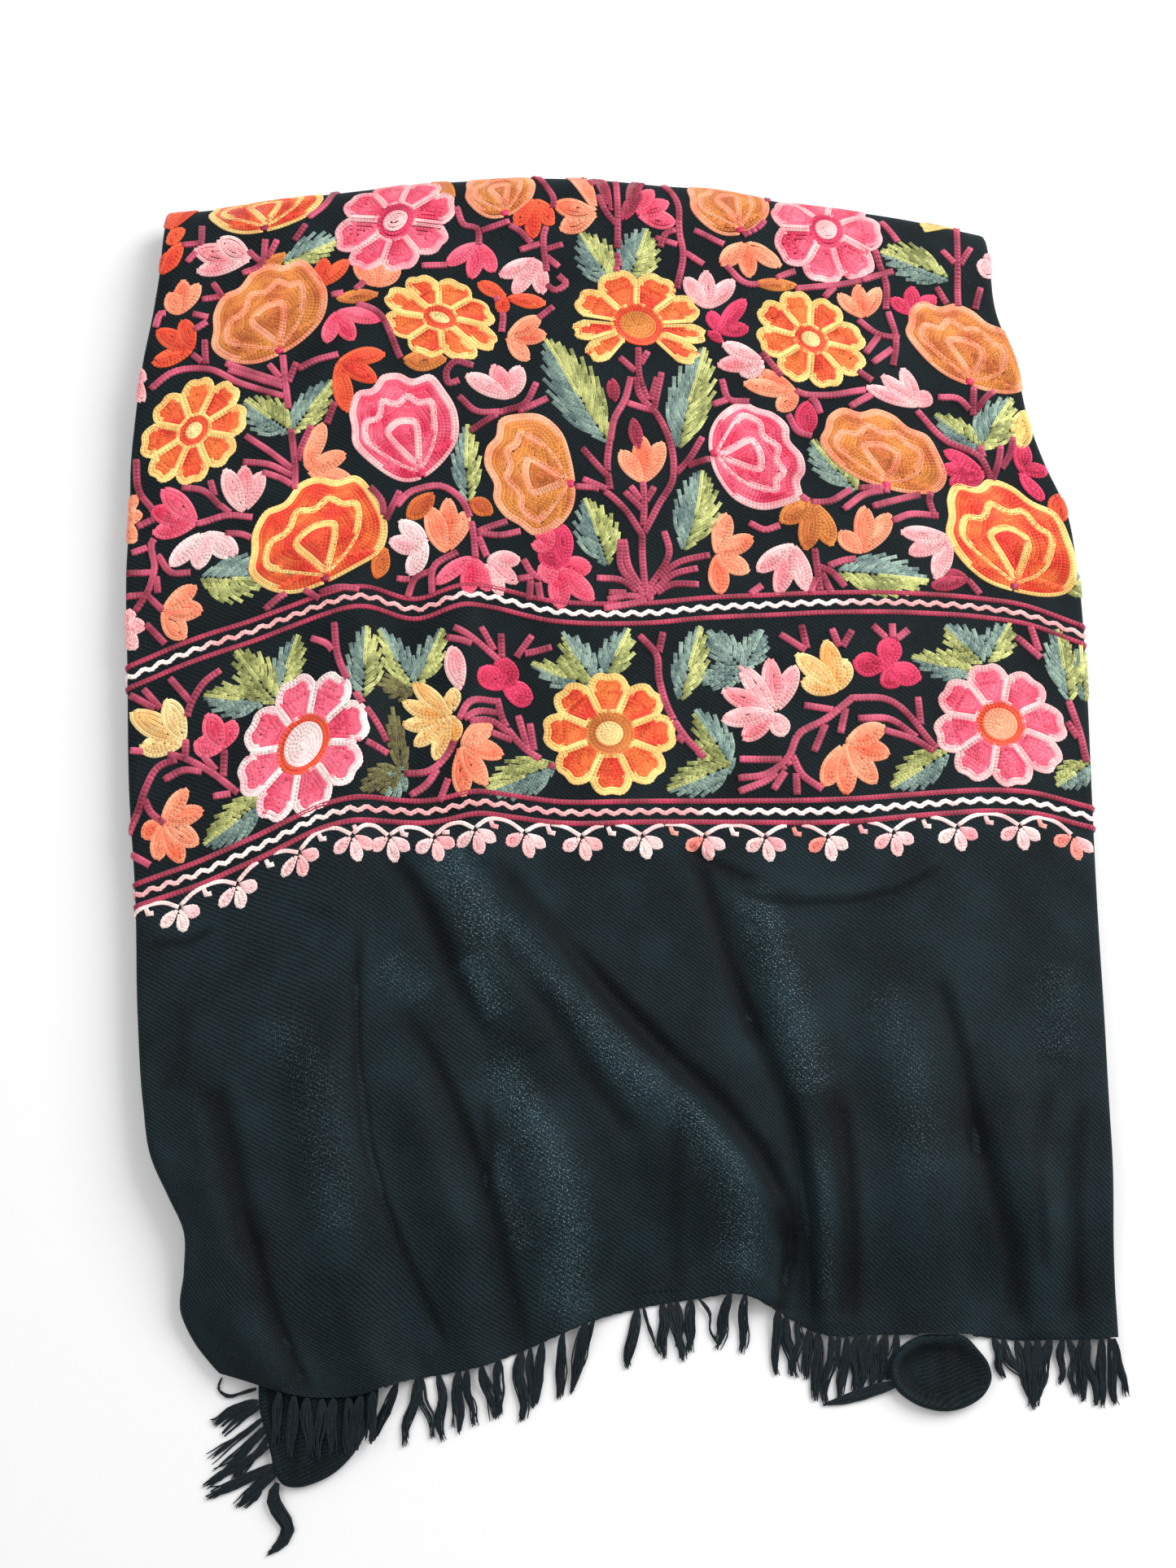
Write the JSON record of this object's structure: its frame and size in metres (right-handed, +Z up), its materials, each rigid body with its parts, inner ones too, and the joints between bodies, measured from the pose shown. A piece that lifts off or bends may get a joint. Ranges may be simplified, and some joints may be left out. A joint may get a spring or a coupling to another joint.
{
  "type": "folded embroidered shawl",
  "caption": "Wool shawl folded flat: embroidered floral border and field run over the top fold, plain cloth and a fringe of gathered yarn lie toward the front.",
  "frame": {"origin": "centre of the bounding box in plan, on the surface that the shawl lies on", "axes": "+Z up from that surface, +Y from the fringed hem to the top fold, +X to the right as seen from above with the fringe toward the viewer"},
  "size_m": [0.511, 0.734, 0.0253],
  "materials": {
    "embroidered_cloth": "black wool twill with raised coloured chain stitch",
    "plain_cloth": "black wool twill",
    "fringe_yarn": "loose black wool yarn"
  },
  "bodies": {
    "root": {"front_panel": "embroidered_cloth", "folded_layers": "plain_cloth", "corner_lobe": "plain_cloth", "rolled_corner": "plain_cloth", "hem_fringe_left": "fringe_yarn", "hem_fringe_middle": "fringe_yarn", "hem_fringe_right": "fringe_yarn", "corner_fringe": "fringe_yarn"}
  },
  "joints": []
}
